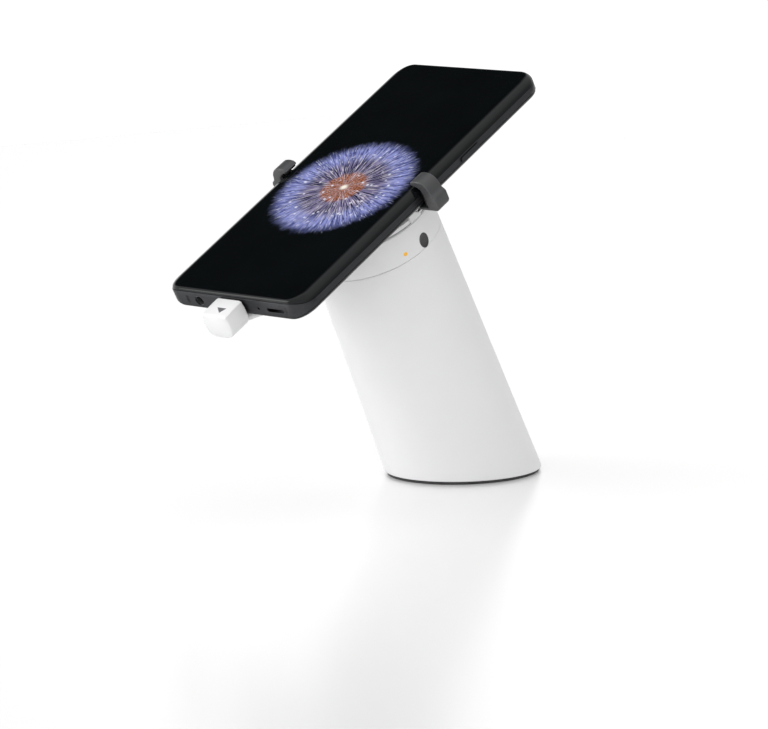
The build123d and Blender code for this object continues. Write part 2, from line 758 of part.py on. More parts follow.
EARPIECE_X = -1.1
EARPIECE_Y = 69.0

with BuildPart() as front_glass:
    add(outline_slab(GLASS_INSET, FRAME_HIGH, PHONE_T / 2))
    fillet(front_glass.faces().sort_by(tilt_axis)[-1].edges(), 1.7)
    with BuildSketch(phone_plane.offset(FRAME_HIGH)):
        with Locations((EARPIECE_X, EARPIECE_Y)):
            SlotOverall(11.2, 1.0)
    extrude(amount=PHONE_T, mode=Mode.SUBTRACT)
    with BuildSketch(phone_plane.offset(FRAME_HIGH)):
        RectangleRounded(PHONE_W - 2 * FRAME_WALL, PHONE_L - 12, PHONE_CORNER - FRAME_WALL)
    extrude(amount=0.7, mode=Mode.SUBTRACT)
front_glass.part.label = "front_glass"
export_step(front_glass.part, "parts/front_glass.step")

with BuildPart() as display_panel:
    with BuildSketch(phone_plane.offset(FRAME_HIGH)):
        RectangleRounded(PHONE_W - 2 * FRAME_WALL - 0.2, PHONE_L - 12.2, PHONE_CORNER - FRAME_WALL)
    extrude(amount=0.7)
display_panel.part.label = "display_panel"
export_step(display_panel.part, "parts/display_panel.step")

with BuildPart() as earpiece_mesh:
    with BuildSketch(phone_plane.offset(FRAME_HIGH + 0.7)):
        with Locations((EARPIECE_X, EARPIECE_Y)):
            SlotOverall(11.1, 0.9)
    extrude(amount=1.0)
earpiece_mesh.part.label = "earpiece_mesh"
export_step(earpiece_mesh.part, "parts/earpiece_mesh.step")

with BuildPart() as back_glass:
    add(outline_slab(GLASS_INSET, -PHONE_T / 2, FRAME_LOW))
    fillet(back_glass.faces().sort_by(tilt_axis)[0].edges(), 1.2)
    with BuildSketch(phone_plane.offset(-PHONE_T / 2)):
        with Locations((0, CAMERA_Y)):
            Circle(CAMERA_R)
        with Locations((0, SENSOR_Y)):
            RectangleRounded(10.1, 6.1, 2.0)
    extrude(amount=PHONE_T / 2 + FRAME_LOW, mode=Mode.SUBTRACT)
back_glass.part.label = "back_glass"
export_step(back_glass.part, "parts/back_glass.step")

with BuildPart() as camera_ring:
    with BuildSketch(phone_plane.offset(-PHONE_T / 2 - 0.5)):
        with Locations((0, CAMERA_Y)):
            Circle(CAMERA_R + 0.8)
            Circle(CAMERA_R - 0.4, mode=Mode.SUBTRACT)
    extrude(amount=0.5)
camera_ring.part.label = "camera_ring"
export_step(camera_ring.part, "parts/camera_ring.step")

with BuildPart() as camera_window:
    with BuildSketch(phone_plane.offset(-PHONE_T / 2)):
        with Locations((0, CAMERA_Y)):
            Circle(CAMERA_R - 0.1)
    extrude(amount=0.6)
camera_window.part.label = "camera_window"
export_step(camera_window.part, "parts/camera_window.step")

with BuildPart() as rear_camera:
    with BuildSketch(phone_plane.offset(-PHONE_T / 2 + 0.6)):
        with Locations((0, CAMERA_Y)):
            Circle(CAMERA_R - 0.3)
    extrude(amount=2.9)
    fillet(rear_camera.faces().sort_by(tilt_axis)[-1].edges(), 0.3)
rear_camera.part.label = "rear_camera"
export_step(rear_camera.part, "parts/rear_camera.step")

with BuildPart() as fingerprint_pad:
    with BuildSketch(phone_plane.offset(-PHONE_T / 2 + 0.3)):
        with Locations((0, SENSOR_Y)):
            RectangleRounded(10.0, 6.0, 1.95)
    extrude(amount=1.0)
fingerprint_pad.part.label = "fingerprint_pad"
export_step(fingerprint_pad.part, "parts/fingerprint_pad.step")

with BuildPart() as battery:
    with BuildSketch(phone_plane.offset(FRAME_LOW + 0.05)):
        with Locations((4, -12)):
            RectangleRounded(44, 84, 2)
    extrude(amount=2.2)
battery.part.label = "battery"
export_step(battery.part, "parts/battery.step")

with BuildPart() as main_board:
    with BuildSketch(phone_plane.offset(-2.0)):
        with Locations((0, 51)):
            Rectangle(58, 34)
        with Locations((-24, 0)):
            Rectangle(9, 72)
        with Locations((0, CAMERA_Y)):
            Circle(CAMERA_R + 0.3, mode=Mode.SUBTRACT)
        with Locations((0, SENSOR_Y)):
            Rectangle(10.6, 6.6, mode=Mode.SUBTRACT)
    extrude(amount=0.8)
main_board.part.label = "main_board"
export_step(main_board.part, "parts/main_board.step")

with BuildPart() as loudspeaker:
    with BuildSketch(phone_plane.offset(-2.4)):
        with Locations((SPEAKER_X, -66)):
            RectangleRounded(13, 8, 1)
    extrude(amount=3.6)
loudspeaker.part.label = "loudspeaker"
export_step(loudspeaker.part, "parts/loudspeaker.step")

with BuildPart() as speaker_mesh:
    with BuildSketch(across(phone_plane, BOTTOM + FRAME_WALL + 0.4)):
        with Locations((SPEAKER_X, PORT_Z)):
            SlotOverall(9.6, 2.4)
    extrude(amount=0.4)
speaker_mesh.part.label = "speaker_mesh"
export_step(speaker_mesh.part, "parts/speaker_mesh.step")

JACK_END = -62.0
USB_END = -65.5

with BuildPart() as audio_jack:
    with BuildSketch(across(phone_plane, JACK_END)):
        with Locations((JACK_X, PORT_Z)):
            Circle(JACK_R)
    extrude(amount=JACK_END - BOTTOM - 0.5)
    with BuildSketch(across(phone_plane, JACK_END - 0.8)):
        with Locations((JACK_X, PORT_Z)):
            Circle(JACK_R - 0.35)
    extrude(amount=JACK_END - BOTTOM, mode=Mode.SUBTRACT)
audio_jack.part.label = "audio_jack"
export_step(audio_jack.part, "parts/audio_jack.step")

with BuildPart() as usb_port:
    with BuildSketch(across(phone_plane, USB_END)):
        with Locations((0, PORT_Z)):
            SlotOverall(9.2, 3.2)
    extrude(amount=USB_END - BOTTOM - 0.3)
    with BuildSketch(across(phone_plane, USB_END - 0.8)):
        with Locations((0, PORT_Z)):
            SlotOverall(8.6, 2.6)
    extrude(amount=USB_END - BOTTOM, mode=Mode.SUBTRACT)
    with BuildSketch(across(phone_plane, USB_END)):
        with Locations((0, PORT_Z)):
            Rectangle(6.4, 0.7)
    extrude(amount=5.6)
usb_port.part.label = "usb_port"
export_step(usb_port.part, "parts/usb_port.step")

with BuildPart() as sim_tray:
    with BuildSketch(across(phone_plane, TOP - 0.15)):
        with Locations((TRAY_X, -0.3)):
            RectangleRounded(TRAY_W, 2.0, 0.95)
    extrude(amount=FRAME_WALL - 0.2)
sim_tray.part.label = "sim_tray"
export_step(sim_tray.part, "parts/sim_tray.step")

KEY_IN = 32.55
KEY_OUT = 34.8

for key_name, (key_side, key_y, key_l) in SIDE_KEYS.items():
    with BuildPart() as key:
        with BuildSketch(sideways(phone_plane, key_side * KEY_IN)):
            with Locations((key_y, KEY_Z)):
                RectangleRounded(key_l, KEY_H, 0.95)
        extrude(amount=key_side * (KEY_OUT - KEY_IN))
    key.part.label = key_name
    export_step(key.part, f"parts/{key_name}.step")

# ---------------------------------------------------------------- the charge plug and its lead

PLUG_TOP = 3.0
PLUG_HALF = 6.5
PLUG_SIDE_HIGH = 0.2
PLUG_SIDE_LOW = -3.2
PLUG_LOW = -7.2

with BuildPart() as charge_plug:
    with BuildSketch(across(phone_plane, PLUG_BACK)):
        with BuildLine():
            Polyline(
                (-PLUG_HALF, PLUG_SIDE_LOW),
                (-PLUG_HALF, PLUG_SIDE_HIGH),
                (-5.2, PLUG_TOP),
                (5.2, PLUG_TOP),
                (PLUG_HALF, PLUG_SIDE_HIGH),
                (PLUG_HALF, PLUG_SIDE_LOW),
            )
            ThreePointArc((PLUG_HALF, PLUG_SIDE_LOW), (0, PLUG_LOW), (-PLUG_HALF, PLUG_SIDE_LOW))
        make_face()
    extrude(amount=PLUG_BACK - PLUG_FRONT)
    fillet(charge_plug.edges().filter_by(Axis(phone_plane.origin, phone_plane.y_dir)), 0.8)
    chamfer(charge_plug.faces().sort_by(Axis(phone_plane.origin, phone_plane.y_dir))[0].edges(), 0.6)
    with BuildSketch(phone_plane.offset(PLUG_TOP - 0.12)):
        with Locations((0, -80.2)):
            RegularPolygon(1.75, 3, rotation=-90)
    extrude(amount=0.5, mode=Mode.SUBTRACT)
charge_plug.part.label = "charge_plug"
export_step(charge_plug.part, "parts/charge_plug.step")

with BuildPart() as plug_arrow:
    with BuildSketch(phone_plane.offset(PLUG_TOP - 0.12)):
        with Locations((0, -80.2)):
            RegularPolygon(1.7, 3, rotation=-90)
    extrude(amount=0.12)
plug_arrow.part.label = "plug_arrow"
export_step(plug_arrow.part, "parts/plug_arrow.step")

TIP_END = -67.2

with BuildPart() as plug_tip:
    with BuildSketch(across(phone_plane, TIP_END)):
        with Locations((0, PORT_Z)):
            SlotOverall(8.3, 2.35)
            Rectangle(6.9, 1.1, mode=Mode.SUBTRACT)
    extrude(amount=TIP_END - PLUG_BACK)
plug_tip.part.label = "plug_tip"
export_step(plug_tip.part, "parts/plug_tip.step")

GROMMET_FRONT = -22.8

with BuildPart() as lead_grommet:
    with BuildSketch(across(phone_plane, HUB_FLAT)):
        with Locations((0, -6.6)):
            RectangleRounded(6.0, 3.2, 1.5)
    extrude(amount=HUB_FLAT - GROMMET_FRONT)
lead_grommet.part.label = "lead_grommet"
export_step(lead_grommet.part, "parts/lead_grommet.step")

# The lead's route in the tilted plane's x, y and z, from the plug to the grommet.
LEAD_ROUTE = [
    (1.2, PLUG_BACK + LEAD_GAP, -5.95),
    (2.4, -69.4, -7.0),
    (4.6, -63.2, -9.0),
    (5.3, -54.6, -10.5),
    (3.7, -45.4, -10.4),
    (1.4, -36.6, -8.9),
    (0.2, -29.4, -7.1),
    (0.0, GROMMET_FRONT, -6.6),
]


def bend_radii(points):
    """For each inner corner, 0.45 of the shorter run over the tangent of half the turn."""
    found = []
    for before, here, after in zip(points, points[1:], points[2:]):
        turn = radians((here - before).get_angle(after - here))
        found.append(0.45 * min((here - before).length, (after - here).length) / tan(turn / 2))
    return found


lead_points = [phone_plane.from_local_coords(Vector(*place)) for place in LEAD_ROUTE]
lead_radii = bend_radii(lead_points)
lead_line = FilletPolyline(*lead_points, radius=lead_radii)
with BuildPart() as charge_lead:
    with BuildSketch(Plane(origin=lead_line @ 0, z_dir=lead_line % 0)):
        Circle(LEAD_D / 2)
    sweep(path=lead_line)
charge_lead.part.label = "charge_lead"
export_step(charge_lead.part, "parts/charge_lead.step")
print("lead radii", [round(r, 1) for r in lead_radii], "length", round(lead_line.length, 1))
print("lead volume over section times length",
      round(charge_lead.part.volume / (3.14159265 * (LEAD_D / 2) ** 2 * lead_line.length), 4))
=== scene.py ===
import json
from math import atan2, cos, pi, radians, sin, tau

import bmesh
import bpy
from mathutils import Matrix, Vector


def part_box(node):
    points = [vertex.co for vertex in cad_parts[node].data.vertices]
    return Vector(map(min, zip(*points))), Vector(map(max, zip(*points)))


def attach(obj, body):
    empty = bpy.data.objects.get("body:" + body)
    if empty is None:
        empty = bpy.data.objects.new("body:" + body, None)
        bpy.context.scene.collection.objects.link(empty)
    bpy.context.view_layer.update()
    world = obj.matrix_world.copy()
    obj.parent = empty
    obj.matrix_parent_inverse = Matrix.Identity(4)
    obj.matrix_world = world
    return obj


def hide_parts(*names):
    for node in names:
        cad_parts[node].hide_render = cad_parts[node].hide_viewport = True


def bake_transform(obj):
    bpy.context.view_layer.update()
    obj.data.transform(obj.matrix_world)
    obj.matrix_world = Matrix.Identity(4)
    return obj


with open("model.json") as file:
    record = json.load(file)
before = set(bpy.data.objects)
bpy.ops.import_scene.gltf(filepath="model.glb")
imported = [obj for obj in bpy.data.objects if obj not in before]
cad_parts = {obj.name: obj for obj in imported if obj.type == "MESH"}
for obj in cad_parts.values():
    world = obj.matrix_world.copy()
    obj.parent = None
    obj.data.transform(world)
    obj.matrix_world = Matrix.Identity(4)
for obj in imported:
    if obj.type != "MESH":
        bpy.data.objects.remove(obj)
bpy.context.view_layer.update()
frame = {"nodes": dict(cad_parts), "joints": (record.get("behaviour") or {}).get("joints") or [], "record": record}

scene = bpy.context.scene
scene.view_settings.view_transform = "Standard"
MM = 0.001
NODES = frame["nodes"]
SLOT_OF = {s["node"]: s["material_slot"] for s in frame["record"]["subparts"]}
JOINTS = {j["name"]: j for j in frame["joints"]}

# ------------------------------------------------------------ the tilted frame of the phone and head

RIGHT = Vector(JOINTS["right_arm_slide"]["axis"])
UP_OUT = Vector(JOINTS["puck_lift"]["axis"])
ALONG = -Vector(JOINTS["plug_pull"]["axis"])


def tilted_box(node):
    """Lowest and highest corner of a CAD node along the phone's own axes, in metres from the origin."""
    points = [v.co for v in NODES[node].data.vertices]
    spans = [[p.dot(axis) for p in points] for axis in (RIGHT, ALONG, UP_OUT)]
    return Vector(min(s) for s in spans), Vector(max(s) for s in spans)


frame_low, frame_high = tilted_box("phone_frame")
glass_high = tilted_box("front_glass")[1].z
back_low = tilted_box("back_glass")[0].z
CENTRE = Vector(
    ((frame_low.x + frame_high.x) / 2, (frame_low.y + frame_high.y) / 2, (glass_high + back_low) / 2)
)
ring_low, ring_high = tilted_box("head_ring")
HEAD_Y = ((ring_low.y + ring_high.y) / 2 - CENTRE.y) / MM


def at(x, y, z):
    """A point from millimetres in the phone's own frame, whose origin is the phone's middle."""
    return (
        RIGHT * (CENTRE.x + x * MM) + ALONG * (CENTRE.y + y * MM) + UP_OUT * (CENTRE.z + z * MM)
    )


def span(node):
    """tilted_box in millimetres from the phone's middle."""
    low, high = tilted_box(node)
    return (low - CENTRE) / MM, (high - CENTRE) / MM


# ------------------------------------------------------------ camera, lights and floor

CAMERA_AZIMUTH = 43.0
CAMERA_ELEVATION = 6.09
CAMERA_DISTANCE = 1.3754
LENS = 176.8
SENSOR = 36.0
AIM_RIGHT = 0.00725
AIM_DOWN = 0.04718


def make_camera():
    """The camera stands at the photographed angle and aims below the phone's middle."""
    azimuth, elevation = radians(CAMERA_AZIMUTH), radians(CAMERA_ELEVATION)
    out = Vector((sin(azimuth) * cos(elevation), -cos(azimuth) * cos(elevation), sin(elevation)))
    middle = at(0, 0, 0)
    data = bpy.data.cameras.new("camera")
    data.lens = LENS
    data.sensor_width = SENSOR
    data.clip_end = 50
    camera = bpy.data.objects.new("camera", data)
    camera.location = middle + out * CAMERA_DISTANCE
    side = Vector((cos(azimuth), sin(azimuth), 0))
    up = out.cross(side)
    aim = -out + side * AIM_RIGHT - up * AIM_DOWN
    camera.rotation_euler = aim.to_track_quat("-Z", "Y").to_euler()
    scene.collection.objects.link(camera)
    scene.camera = camera


def make_light(name, place, target, size, power):
    """A soft rectangular studio light that faces the target."""
    data = bpy.data.lights.new(name, "AREA")
    data.shape = "RECTANGLE"
    data.size, data.size_y = size
    data.energy = power
    light = bpy.data.objects.new(name, data)
    light.location = place
    light.rotation_euler = (Vector(target) - Vector(place)).to_track_quat("-Z", "Y").to_euler()
    scene.collection.objects.link(light)


FLAG_SIDE = Vector((-0.678, 0.272, 0.683))
SHADE_SIDE = Vector((0.73, 0.68, 0.0))
STUDIO_LEVEL = 1.09


def make_world():
    """A white studio with a dark card mirrored in the glass and a dimmer right side."""
    world = bpy.data.worlds.new("studio")
    world.use_nodes = True
    tree = world.node_tree
    tree.nodes.clear()
    coords = tree.nodes.new("ShaderNodeTexCoord")
    background = tree.nodes.new("ShaderNodeBackground")
    out = tree.nodes.new("ShaderNodeOutputWorld")
    levels = []
    for axis, start, end, low in ((FLAG_SIDE, 0.85, 0.95, 0.012), (SHADE_SIDE, 0.2, 0.95, 0.5)):
        dot = tree.nodes.new("ShaderNodeVectorMath")
        dot.operation = "DOT_PRODUCT"
        dot.inputs[1].default_value = axis
        tree.links.new(coords.outputs["Generated"], dot.inputs[0])
        fall = tree.nodes.new("ShaderNodeMapRange")
        fall.interpolation_type = "SMOOTHSTEP"
        fall.inputs["From Min"].default_value = start
        fall.inputs["From Max"].default_value = end
        fall.inputs["To Min"].default_value = 1.0
        fall.inputs["To Max"].default_value = low
        tree.links.new(dot.outputs["Value"], fall.inputs["Value"])
        levels.append(fall.outputs[0])
    both = tree.nodes.new("ShaderNodeMath")
    both.operation = "MULTIPLY"
    tree.links.new(levels[0], both.inputs[0])
    tree.links.new(levels[1], both.inputs[1])
    tree.links.new(both.outputs[0], background.inputs["Strength"])
    background.inputs["Color"].default_value = (STUDIO_LEVEL, STUDIO_LEVEL, STUDIO_LEVEL, 1)
    tree.links.new(background.outputs[0], out.inputs["Surface"])
    scene.world = world


FLOOR_HALF = 1.1
FLOOR_GLOSS = 0.55
FLOOR_GLOW = 0.08


def make_floor():
    """A pale glossy counter top, bright enough to melt into the background."""
    data = bpy.data.meshes.new("floor")
    half = FLOOR_HALF
    corners = [(-half, -half, 0), (half, -half, 0), (half, half, 0), (-half, half, 0)]
    data.from_pydata(corners, [], [(0, 1, 2, 3)])
    floor = bpy.data.objects.new("floor", data)
    scene.collection.objects.link(floor)
    material = bpy.data.materials.new("counter")
    material.use_nodes = True
    tree = material.node_tree
    tree.nodes.clear()
    diffuse = tree.nodes.new("ShaderNodeBsdfDiffuse")
    diffuse.inputs["Color"].default_value = (0.92, 0.92, 0.92, 1)
    gloss = tree.nodes.new("ShaderNodeBsdfGlossy")
    gloss.inputs["Roughness"].default_value = 0.24
    gloss.inputs["Color"].default_value = (1, 1, 1, 1)
    glow = tree.nodes.new("ShaderNodeEmission")
    glow.inputs["Strength"].default_value = FLOOR_GLOW
    mix = tree.nodes.new("ShaderNodeMixShader")
    mix.inputs[0].default_value = FLOOR_GLOSS
    total = tree.nodes.new("ShaderNodeAddShader")
    out = tree.nodes.new("ShaderNodeOutputMaterial")
    tree.links.new(diffuse.outputs[0], mix.inputs[1])
    tree.links.new(gloss.outputs[0], mix.inputs[2])
    tree.links.new(mix.outputs[0], total.inputs[0])
    tree.links.new(glow.outputs[0], total.inputs[1])
    tree.links.new(total.outputs[0], out.inputs["Surface"])
    data.materials.append(material)


make_camera()
make_world()
make_floor()
make_light("left_side", (-0.9, -1.3, 0.7), (0, 0, 0.06), (0.8, 1.0), 8.0)

# ------------------------------------------------------------ materials


class Shade:
    """A Principled material with procedural colour, roughness and relief."""

    def __init__(self, name, colour, rough, metal=0.0):
        self.material = bpy.data.materials.new(name)
        self.material.use_nodes = True
        self.tree = self.material.node_tree
        self.shader = self.tree.nodes["Principled BSDF"]
        self.shader.inputs["Base Color"].default_value = (*colour, 1)
        self.shader.inputs["Roughness"].default_value = rough
        self.shader.inputs["Metallic"].default_value = metal
        self.colour, self.rough = colour, rough
        coords = self.tree.nodes.new("ShaderNodeTexCoord")
        self.place = coords.outputs["Object"]
        self.height = None

    def set(self, **values):
        """Sets uniform values on the shader's own sockets."""
        for key, value in values.items():
            self.shader.inputs[key.replace("_", " ")].default_value = value
        return self

    def noise(self, scale, detail=3.0, stretch=None):
        """A noise pattern of so many cells a metre, stretched along an axis of the row frame if asked."""
        node = self.tree.nodes.new("ShaderNodeTexNoise")
        node.inputs["Scale"].default_value = scale
        node.inputs["Detail"].default_value = detail
        source = self.place
        if stretch:
            mapping = self.tree.nodes.new("ShaderNodeMapping")
            mapping.inputs["Scale"].default_value = stretch
            self.tree.links.new(source, mapping.inputs["Vector"])
            source = mapping.outputs["Vector"]
        self.tree.links.new(source, node.inputs["Vector"])
        return node.outputs[0]

    def remap(self, value, low, high, from_low=0.3, from_high=0.7):
        """A value spread over a range."""
        node = self.tree.nodes.new("ShaderNodeMapRange")
        node.inputs["From Min"].default_value = from_low
        node.inputs["From Max"].default_value = from_high
        node.inputs["To Min"].default_value = low
        node.inputs["To Max"].default_value = high
        self.tree.links.new(value, node.inputs["Value"])
        return node.outputs[0]

    def vary_colour(self, value, other, strength=1.0):
        """Mixes the base colour towards another one where the pattern is high."""
        mix = self.tree.nodes.new("ShaderNodeMix")
        mix.data_type = "RGBA"
        mix.inputs["A"].default_value = (*self.colour, 1)
        mix.inputs["B"].default_value = (*other, 1)
        self.tree.links.new(self.remap(value, 0, strength), mix.inputs["Factor"])
        self.tree.links.new(mix.outputs["Result"], self.shader.inputs["Base Color"])
        return self

    def vary_rough(self, value, by):
        """Spreads the roughness either side of its value."""
        spread = self.remap(value, max(0.02, self.rough - by), self.rough + by)
        self.tree.links.new(spread, self.shader.inputs["Roughness"])
        return self

    def relief(self, value, depth, strength=1.0):
        """Adds a bump of so many metres."""
        bump = self.tree.nodes.new("ShaderNodeBump")
        bump.inputs["Strength"].default_value = strength
        bump.inputs["Distance"].default_value = depth
        self.tree.links.new(value, bump.inputs["Height"])
        if self.height is not None:
            self.tree.links.new(self.height, bump.inputs["Normal"])
        self.height = bump.outputs["Normal"]
        self.tree.links.new(self.height, self.shader.inputs["Normal"])
        return self

    def worn_edges(self, other, strength):
        """Lightens convex edges, where hands rub."""
        geometry = self.tree.nodes.new("ShaderNodeNewGeometry")
        edge = self.remap(geometry.outputs["Pointiness"], 0, strength, 0.53, 0.62)
        mix = self.tree.nodes.new("ShaderNodeMix")
        mix.data_type = "RGBA"
        mix.inputs["B"].default_value = (*other, 1)
        socket = self.shader.inputs["Base Color"]
        if socket.is_linked:
            self.tree.links.new(socket.links[0].from_socket, mix.inputs["A"])
        else:
            mix.inputs["A"].default_value = (*self.colour, 1)
        self.tree.links.new(edge, mix.inputs["Factor"])
        self.tree.links.new(mix.outputs["Result"], socket)
        return self


def moulded(name, colour, rough, grain=5200.0, depth=4e-6, coat=0.0):
    """Injection moulded plastic with a fine spark-eroded texture and faint flow marks."""
    shade = Shade(name, colour, rough)
    shade.set(Coat_Weight=coat, Coat_Roughness=0.25, IOR=1.49)
    darker = tuple(c * 0.965 for c in colour)
    shade.vary_colour(shade.noise(38, 4), darker, 0.6)
    shade.vary_rough(shade.noise(900, 3), 0.05)
    shade.relief(shade.noise(grain, 2), depth)
    shade.relief(shade.noise(160, 2), 6e-6, 0.5)
    return shade


def metal(name, colour, rough, stretch=(1, 1, 1), scale=2500.0, depth=1.5e-6):
    """Machined or drawn metal with fine directional lines."""
    shade = Shade(name, colour, rough, 1.0)
    shade.vary_colour(shade.noise(120, 4), tuple(c * 0.82 for c in colour), 0.7)
    shade.vary_rough(shade.noise(scale, 2, stretch), 0.09)
    shade.relief(shade.noise(scale, 2, stretch), depth)
    return shade


def rubbery(name, colour, rough=0.75):
    """Soft rubber or foam with a dusty bloom and a fine skin."""
    shade = Shade(name, colour, rough)
    shade.vary_colour(shade.noise(220, 5), tuple(min(1, c * 1.5 + 0.01) for c in colour), 0.5)
    shade.vary_rough(shade.noise(600, 3), 0.08)
    shade.relief(shade.noise(6500, 3), 6e-6)
    return shade


def circuit(name):
    """Green solder mask over copper tracks."""
    shade = Shade(name, (0.012, 0.085, 0.035), 0.34)
    tracks = shade.tree.nodes.new("ShaderNodeTexBrick")
    tracks.inputs["Scale"].default_value = 420
    tracks.inputs["Mortar Size"].default_value = 0.06
    tracks.inputs["Color1"].default_value = (0.012, 0.085, 0.035, 1)
    tracks.inputs["Color2"].default_value = (0.016, 0.11, 0.045, 1)
    tracks.inputs["Mortar"].default_value = (0.05, 0.2, 0.08, 1)
    shade.tree.links.new(shade.place, tracks.inputs["Vector"])
    shade.tree.links.new(tracks.outputs["Color"], shade.shader.inputs["Base Color"])
    shade.relief(tracks.outputs["Fac"], 2e-5, 0.6)
    return shade


def glowing(name, colour, strength):
    """A lit light pipe with a fine grainy surface."""
    shade = Shade(name, colour, 0.3)
    shade.set(Emission_Color=(*colour, 1), Emission_Strength=strength, Subsurface_Weight=0.1)
    shade.vary_rough(shade.noise(4000, 2), 0.08)
    shade.relief(shade.noise(6000, 2), 4e-6)
    return shade


def dark_glass(name, colour=(0.004, 0.005, 0.006), specular=0.3):
    """Black backed polished glass with a faint smear of handling."""
    shade = Shade(name, colour, 0.07)
    shade.set(Specular_IOR_Level=specular, IOR=1.5)
    shade.vary_rough(shade.noise(70, 5), 0.035)
    shade.vary_colour(shade.noise(45, 4), tuple(c * 1.6 for c in colour), 0.7)
    return shade


SHADES = {
    "body_white": moulded("body_white", (0.85, 0.85, 0.852), 0.42),
    "head_white": moulded("head_white", (0.83, 0.83, 0.833), 0.44),
    "inner_plastic": moulded("inner_plastic", (0.33, 0.335, 0.35), 0.5),
    "cast_iron": metal("cast_iron", (0.16, 0.16, 0.165), 0.62, scale=1400, depth=4e-5),
    "foot_rubber": rubbery("foot_rubber", (0.03, 0.03, 0.03)),
    "steel": metal("steel", (0.56, 0.57, 0.58), 0.32, (1, 14, 14)),
    "gold_contact": metal("gold_contact", (0.95, 0.68, 0.28), 0.22),
    "circuit_board": circuit("circuit_board"),
    "black_plastic": moulded("black_plastic", (0.018, 0.018, 0.019), 0.5),
    "port_lens": dark_glass("port_lens", (0.022, 0.022, 0.023), 0.6),
    "amber_light": glowing("amber_light", (0.8, 0.42, 0.03), 0.3),
    "cable_sheath": rubbery("cable_sheath", (0.2, 0.2, 0.21), 0.5),
    "arm_grey": moulded("arm_grey", (0.055, 0.056, 0.058), 0.42, 7000, 9e-6).worn_edges(
        (0.14, 0.14, 0.145), 0.5
    ),
    "pad_rubber": rubbery("pad_rubber", (0.012, 0.012, 0.012)),
    "foam_adhesive": rubbery("foam_adhesive", (0.16, 0.16, 0.165), 0.9),
    "phone_metal": metal("phone_metal", (0.055, 0.056, 0.06), 0.36, (9, 1, 9)),
    "phone_glass": dark_glass("phone_glass"),
    "display": dark_glass("display"),
    "antenna": moulded("antenna", (0.012, 0.012, 0.014), 0.5),
    "battery_foil": metal("battery_foil", (0.22, 0.22, 0.23), 0.55, scale=900, depth=2e-5),
    "plug_white": moulded("plug_white", (0.84, 0.84, 0.845), 0.38),
    "lead_white": rubbery("lead_white", (0.74, 0.74, 0.745), 0.46),
    "arrow_grey": moulded("arrow_grey", (0.13, 0.13, 0.14), 0.6),
}

# ------------------------------------------------------------ the lit picture

PICTURE_X = 0.9
PICTURE_Y = -6.4
PICTURE_R = 28.8


class Formula:
    """Builds arithmetic in a material's node tree."""

    def __init__(self, tree):
        self.tree = tree

    def do(self, operation, *values, clamp=False):
        node = self.tree.nodes.new("ShaderNodeMath")
        node.operation = operation
        node.use_clamp = clamp
        for socket, value in zip(node.inputs, values):
            if isinstance(value, (int, float)):
                socket.default_value = value
            else:
                self.tree.links.new(value, socket)
        return node.outputs[0]

    def dot(self, vector, axis, offset):
        """How far a point lies along an axis, past an offset, in millimetres."""
        node = self.tree.nodes.new("ShaderNodeVectorMath")
        node.operation = "DOT_PRODUCT"
        self.tree.links.new(vector, node.inputs[0])
        node.inputs[1].default_value = axis
        return self.do("SUBTRACT", self.do("DIVIDE", node.outputs["Value"], MM), offset)

    def join(self, *values):
        node = self.tree.nodes.new("ShaderNodeCombineXYZ")
        for socket, value in zip(node.inputs, values):
            if isinstance(value, (int, float)):
                socket.default_value = value
            else:
                self.tree.links.new(value, socket)
        return node.outputs[0]

    def noise(self, vector, scale, detail=2.0):
        node = self.tree.nodes.new("ShaderNodeTexNoise")
        node.inputs["Scale"].default_value = scale
        node.inputs["Detail"].default_value = detail
        self.tree.links.new(vector, node.inputs["Vector"])
        return node.outputs[0]

    def step(self, value, low, high):
        """0 below low, 1 above high, smooth between. It falls where low is the larger."""
        node = self.tree.nodes.new("ShaderNodeMapRange")
        node.interpolation_type = "SMOOTHSTEP"
        falling = low > high
        node.inputs["From Min"].default_value = min(low, high)
        node.inputs["From Max"].default_value = max(low, high)
        node.inputs["To Min"].default_value = 1.0 if falling else 0.0
        node.inputs["To Max"].default_value = 0.0 if falling else 1.0
        self.tree.links.new(value, node.inputs["Value"])
        return node.outputs[0]

    def mix(self, share, first, second):
        node = self.tree.nodes.new("ShaderNodeMix")
        node.data_type = "RGBA"
        self.tree.links.new(share, node.inputs["Factor"])
        for socket, value in (("A", first), ("B", second)):
            if isinstance(value, tuple):
                node.inputs[socket].default_value = (*value, 1)
            else:
                self.tree.links.new(value, node.inputs[socket])
        return node.outputs["Result"]


